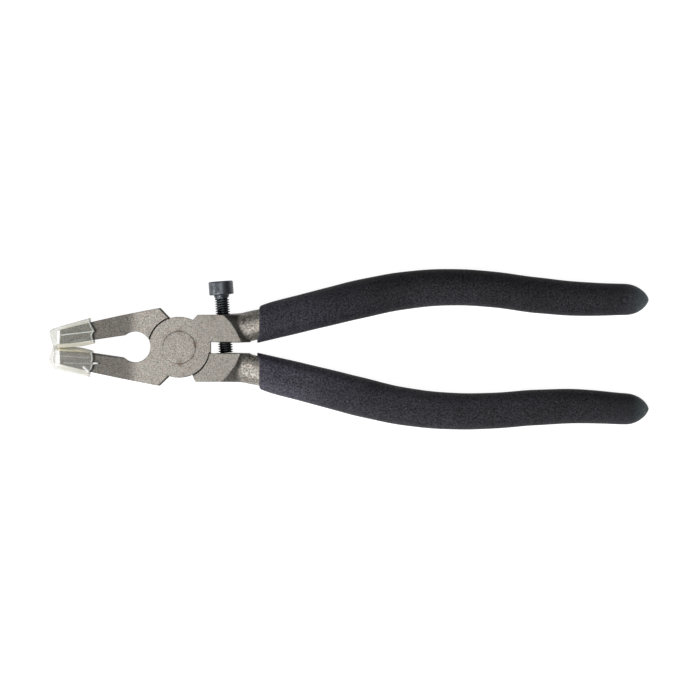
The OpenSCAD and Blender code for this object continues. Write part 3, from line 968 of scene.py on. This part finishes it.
def grip_piece(grip, material):
    """Dipped grip: outer skin from the rounded end to its mouth, then the bore round the steel."""
    turn = circle(168)
    inward = -np.cos(turn)  # 1 on the side that faces the other grip
    mouth = GRIP_X + 0.25 - 0.75 * ramp(inward, 0.6, 1)
    corner = 0.6 - 0.4 * ramp(inward, -0.2, 1)  # how far the mouth's lip is rounded
    nose_x = GRIP_END - GRIP_NOSE
    rings, painted_light = [], []

    def ring(x, grow, share=1.0):
        """Adds a ring that stands off the steel by grow, shrunk to a share of its size."""
        x, grow = x + 0 * turn, grow + 0 * turn
        outside = grow.max() > 0.5
        wave = WAVE_H * np.sin(0.31 * x + 2 * np.sin(turn)) * np.sin(0.17 * x + turn) * outside
        half = along(grip.handle, 2, x) + grow + wave
        thick = half_thickness(grip.handle, x) + grow + wave
        y = along(grip.handle, 1, x) + share * half * power(np.cos(turn), 2 / SQUARENESS)
        u = share * thick * power(np.sin(turn), 2 / SQUARENESS)
        u = u - DENT_DEPTH * dent(grip, x, y) * (u > 0) * outside
        order = slice(None, None, -1 if grip.side > 0 else 1)
        rings.append(np.stack([x, grip.side * y, MID + u], 1)[order])
        painted_light.append(grip_painted_light(grip, x, y)[order])

    for share in NOSE_AT:
        ring(nose_x + GRIP_NOSE * share, GRIP_WALL, (1 - share ** 2) ** NOSE_ROUND)
    for x in np.arange(nose_x, GRIP_X + 2.2, -GRIP_RING):
        ring(x, GRIP_WALL)
    for share in LIP_AT:
        angle = share * math.pi / 2
        ring(mouth + corner * (1 - math.sin(angle)) + (1 - share) * 0.3,
             GRIP_WALL - corner * (1 - math.cos(angle)) * 0.9)
    ring(mouth + 0.02, 0.12)
    ring(mouth + 0.12, BORE_GAP)
    for x in np.linspace(GRIP_X + 1, STEEL_END - 2, 60):
        ring(x, BORE_GAP)
    for past_end, share in ((-0.6, 0.9), (0.2, 0.6), (0.4, 0.0)):
        ring(STEEL_END + past_end, BORE_GAP, share)
    piece = ring_piece(grip.node + "_dipped", rings, [("painted_light", painted_light)])
    finish_piece(piece, grip.node, grip.body, material)


def cover_piece(cover):
    """Jaw cover, with how milky and creamy it looks, its painted highlights and the painted light on its
    outer faces stored at each point.
    """
    field = cover_field(cover)

    def outer_band(x, y):
        """True over the band of vinyl outside the jaw's outer edge."""
        return (past(cover.jaw[1], cover.jaw[2], x, y) > -0.1) * (x > JAW_TIP_X)

    def painted_highlight(points, normals):
        """Painted highlight: white along the cut mouth, on the flap, along the folds and at a glint."""
        x, y, u = points[:, 0], cover.side * points[:, 1], points[:, 2] - MID
        flat = np.abs(normals[:, 2])
        rim = fade(mouth_x(cover.mouth, y, u) - x, 0.3) * (flat > 0.5) * (y < cover.mouth[-2][1] + 0.3)
        flap = ramp(x, -29, -28.8) * (y > 4)
        crease = nearest_crease(cover.creases, x, y) * (flat > 0.7)
        return np.clip(np.maximum(np.maximum(rim, flap), crease), 0, 1)

    def cream(points, normals):
        """Cream on the pad and, more weakly, on the outer band; almost none at the closed end."""
        x, y = points[:, 0], cover.side * points[:, 1]
        on_side = ramp(y + 0.08 * (x + 30), 2.6, 1.4)
        on_flat = np.clip((read(CREAM_EDGE, x) - y) / 0.4, 0, 1)
        pad = np.where(np.abs(normals[:, 2]) < 0.5, on_side, on_flat)
        return np.maximum(pad, cover.outer_cream * outer_band(x, y)) * np.clip(x + 41.5, 0.2, 1)

    def vinyl_behind(points, normals):
        """How thick the vinyl is straight behind each point."""
        wall = np.full(len(points), DEEPEST)
        for depth in np.arange(DEEPEST, 0.3, -WALL_STEP):
            wall = np.where(field(*(points - normals * depth).T) > 0, depth, wall)
        return wall

    def milk(points, normals):
        """Share that isn't clear: more through thick vinyl, less inside, and set over the room."""
        x, y = points[:, 0], cover.side * points[:, 1]
        thick = 0.5 * (1 - np.exp(-vinyl_behind(points, normals) / 5))
        ahead = field(*(points + normals * 2.4).T)
        thick = np.where((ahead < 0) & (ahead > -3), thick * 0.5, thick) + 0.18 * outer_band(x, y)
        pad = np.where(np.abs(normals[:, 2]) < 0.5, *cover.pad_milk) * cream(points, normals)
        # The painted highlights also make the vinyl more milky.
        seen = np.clip(np.maximum(thick, pad) + 0.85 * painted_highlight(points, normals), 0, 1)
        window = (x > cover.room_end - 0.15) & (x < JAW_TIP_X + 0.05) & (y > 1.2) & (y < cover.room_top)
        return np.where(window, cover.room_milk, seen)

    def painted_side_light(points, normals):
        """Painted light: whitish outer side faces, more so the steeper they are, where they aren't cream."""
        free = field(*(points + normals * 2).T) > 0
        outer = free & (normals[:, 0] < 0.6) & (cover.side * normals[:, 1] > -0.5)
        return outer * ramp(np.abs(normals[:, 2]), 0.7, 0.2) * (1 - cream(points, normals))

    xs = spaced(-44.6, -27.1, COVER_STEP)
    ys = spaced(-1.2, 10.8, COVER_STEP) if cover.side > 0 else spaced(-10.8, 1.2, COVER_STEP)
    zs = spaced(MID - JAW_HALF_W - 1.7, MID + JAW_HALF_W + 1.7, COVER_STEP)
    attributes = [("milk", milk), ("painted_highlight", painted_highlight), ("cream", cream), ("painted_side_light", painted_side_light)]
    piece = field_piece(cover.node + "_vinyl", field, xs, ys, zs, attributes)
    material = vinyl_material(cover.material, cover.vinyl, cover.pad_vinyl)
    finish_piece(piece, cover.node, cover.body, material)


# jaw_side, side: the piece's side in Y. disc_side: its disc's side in Z. block: the slot's low and high
# side. scale: painted shade, how much darker the shoulder is, and neck: painted light and shade, how
# light the neck is, as (distance from the centre line, value).
front_lever = SimpleNamespace(
    node="front_lever", body="front_half", jaw_side=-1, disc_side=1, jaw=LOWER_JAW, face=LOWER_FACE,
    crowned=True, tang=UPPER_TANG, slant=UPPER_SLANT, handle=UPPER_HANDLE, rivet_play=0.01, tapped=True,
    block=(SLOT_BOTTOM + SLOT_PLAY, SLOT_TOP), cover_mouth=LOWER_MOUTH,
    scale=[(7, 0.2), (10, 0.75)], neck=[(1.6, 0.75), (3, 1), (10.8, 1), (12.2, 0.4)])
rear_lever = SimpleNamespace(
    node="rear_lever", body="rear_half", jaw_side=1, disc_side=-1, jaw=UPPER_JAW, face=UPPER_FACE,
    crowned=False, tang=LOWER_TANG, slant=LOWER_SLANT, handle=LOWER_HANDLE, rivet_play=0.05, tapped=False,
    block=(SLOT_BOTTOM, SLOT_TOP - SLOT_PLAY), cover_mouth=UPPER_MOUTH,
    scale=[(7, 0.2), (10, 0.2)], neck=[(2.8, 1.2), (3.6, 2.2), (5, 1.9), (8, 1)])

# The grips' painted light and shade: rows of (x, how light the skin is, how much lighter towards +Y, how
# much towards -Y).
upper_grip = SimpleNamespace(
    node="upper_grip", body="front_half", handle=UPPER_HANDLE, side=1, dent=(150.7, 16.1),
    wear=[(31, 1.2, 0, 0), (50, 1.08, 0, 0.1), (75, 1.1, -0.3, 0.3), (90, 1.1, -0.36, 0.6),
          (110, 1.1, -0.2, 0.3), (120, 1.12, 0, 0.1), (145, 1.38, 0, 0), (150, 1.6, 0, 0),
          (153.5, 3, 0, 0), (156, 6, 0, 0), (158, 9, 0, 0)])
lower_grip = SimpleNamespace(
    node="lower_grip", body="rear_half", handle=LOWER_HANDLE, side=-1, dent=None,
    wear=[(31, 1.58, 0.8, 0.15), (50, 1.59, 0.9, 0), (90, 1.65, 0.6, 0), (120, 1.33, 0.4, 0),
          (145, 1.24, 0.2, 0.4), (150, 1.42, 0, 0.3), (153.5, 2.2, 0, 0.2), (156, 5.5, 0, 0),
          (158, 9, 0, 0)])

# room_end, room_top, room_milk: the empty room in front of the jaw, its end in X, its top and its milk,
# where below 0 takes the gloss off too. pad_milk: the pad's milk on its side faces and its flat faces.
upper_cover = SimpleNamespace(
    node="upper_jaw_cover", body="rear_half", side=1, walls=UPPER_SHELL, corner=0.6, pad=UPPER_PAD,
    jaw=UPPER_JAW, face=UPPER_FACE, crowned=False, mouth=UPPER_MOUTH, creases=UPPER_CREASES,
    room_end=-41.35, room_top=5.6, room_milk=-1, outer_cream=0.4, pad_milk=(0.42, 0.72),
    material="upper_cover_clear_vinyl", vinyl=rgb(0.64, 0.66, 0.58), pad_vinyl=rgb(0.78, 0.745, 0.61))
lower_cover = SimpleNamespace(
    node="lower_jaw_cover", body="front_half", side=-1, walls=LOWER_SHELL, corner=1.0, pad=LOWER_PAD,
    jaw=LOWER_JAW, face=LOWER_FACE, crowned=True, mouth=LOWER_MOUTH, creases=LOWER_CREASES,
    room_end=-42.3, room_top=6.2, room_milk=0.1, outer_cream=0.12, pad_milk=(0.68, 0.58),
    # The lower pad's cream is lighter than the upper's: painted light against the shade beside the upper
    # pad.
    material="lower_cover_clear_vinyl", vinyl=rgb(0.74, 0.735, 0.68), pad_vinyl=rgb(0.96, 0.90, 0.68))

lever_piece(front_lever)
lever_piece(rear_lever)
rivet_piece()
screw_piece()
dipped_vinyl = grip_material()
grip_piece(upper_grip, dipped_vinyl)
grip_piece(lower_grip, dipped_vinyl)
cover_piece(upper_cover)
cover_piece(lower_cover)


# ---- stage -------------------------------------------------------------------
VIEW_CENTRE = (57.7, -0.9)
VIEW_WIDTH = 236.8
LENS = 500
SENSOR = 36
FLOOR_SIZE = 6  # metres


def stage_floor():
    """Pale floor that the wide jaw covers and the ends of the grips rest on."""
    low = node_box("lower_jaw_cover")[0]
    grip_low, grip_high = node_box("lower_grip")
    thinner = 1.6  # the grip touches higher than its lowest point, because it is thinner near its end
    tilt = math.atan2(grip_low[2] + thinner - low[2], grip_high[0] - GRIP_NOSE - low[0] - 4)
    bpy.ops.mesh.primitive_plane_add(size=FLOOR_SIZE)
    floor = bpy.context.object
    floor.name = "pale_floor"
    floor.rotation_euler = (0, -tilt, 0)
    floor.location = (low[0] * MM, 0, (low[2] - 0.05) * MM)
    look = Shader("pale_floor")
    look.surface(Base_Color=rgb(0.3, 0.3, 0.3), Roughness=0.9)
    look.surface(Emission_Color=rgb(1, 1, 1), Emission_Strength=0.93)
    floor.data.materials.append(look.owner)


def area_light(name, place, size, watts, aim):
    """Round soft light at a place, turned towards aim."""
    lamp = bpy.data.lights.new(name, "AREA")
    lamp.shape = "DISK"
    lamp.size = size
    lamp.energy = watts
    holder = add_object(name, lamp)
    holder.location = place
    holder.rotation_mode = "QUATERNION"
    holder.rotation_quaternion = (Vector(aim) - Vector(place)).to_track_quat("-Z", "Y")
    holder.visible_camera = False


def stage_camera():
    """Long lens straight above the joint's plane, as wide as the tool with a margin."""
    data = bpy.data.cameras.new("camera")
    data.lens = LENS
    data.sensor_width = SENSOR
    distance = VIEW_WIDTH * LENS / SENSOR
    data.clip_end = 50
    camera = add_object("camera", data)
    camera.location = (VIEW_CENTRE[0] * MM, VIEW_CENTRE[1] * MM, (MID + distance) * MM)
    bpy.context.scene.camera = camera


def stage_world():
    """Soft grey surround, brighter on the side of the jaws and the lower grip."""
    look = Nodes(bpy.data.worlds.new("studio"))
    inputs = {0: look.node("ShaderNodeTexCoord").outputs["Generated"], 1: (0.75, 0.65, 0)}
    side = look.node("ShaderNodeVectorMath", inputs, operation="DOT_PRODUCT").outputs["Value"]
    strength = look.remap(side, -1, 1, 0.67, 0.18)
    look.feed(look.tree.nodes["Background"].inputs["Strength"], strength)
    bpy.context.scene.world = look.owner


stage_floor()
stage_camera()
stage_world()
# Places in metres, then size, watts and aim.
area_light("key", (-0.75, -0.75, 1.1), 0.8, 19, (0.05, 0, 0))
area_light("overhead", (0.0, -0.15, 1.5), 0.9, 8.5, (0.05, 0, 0))
area_light("side", (-1.2, -0.35, 0.4), 0.5, 9, (0.0, 0, 0))
bpy.context.scene.view_settings.view_transform = "Standard"
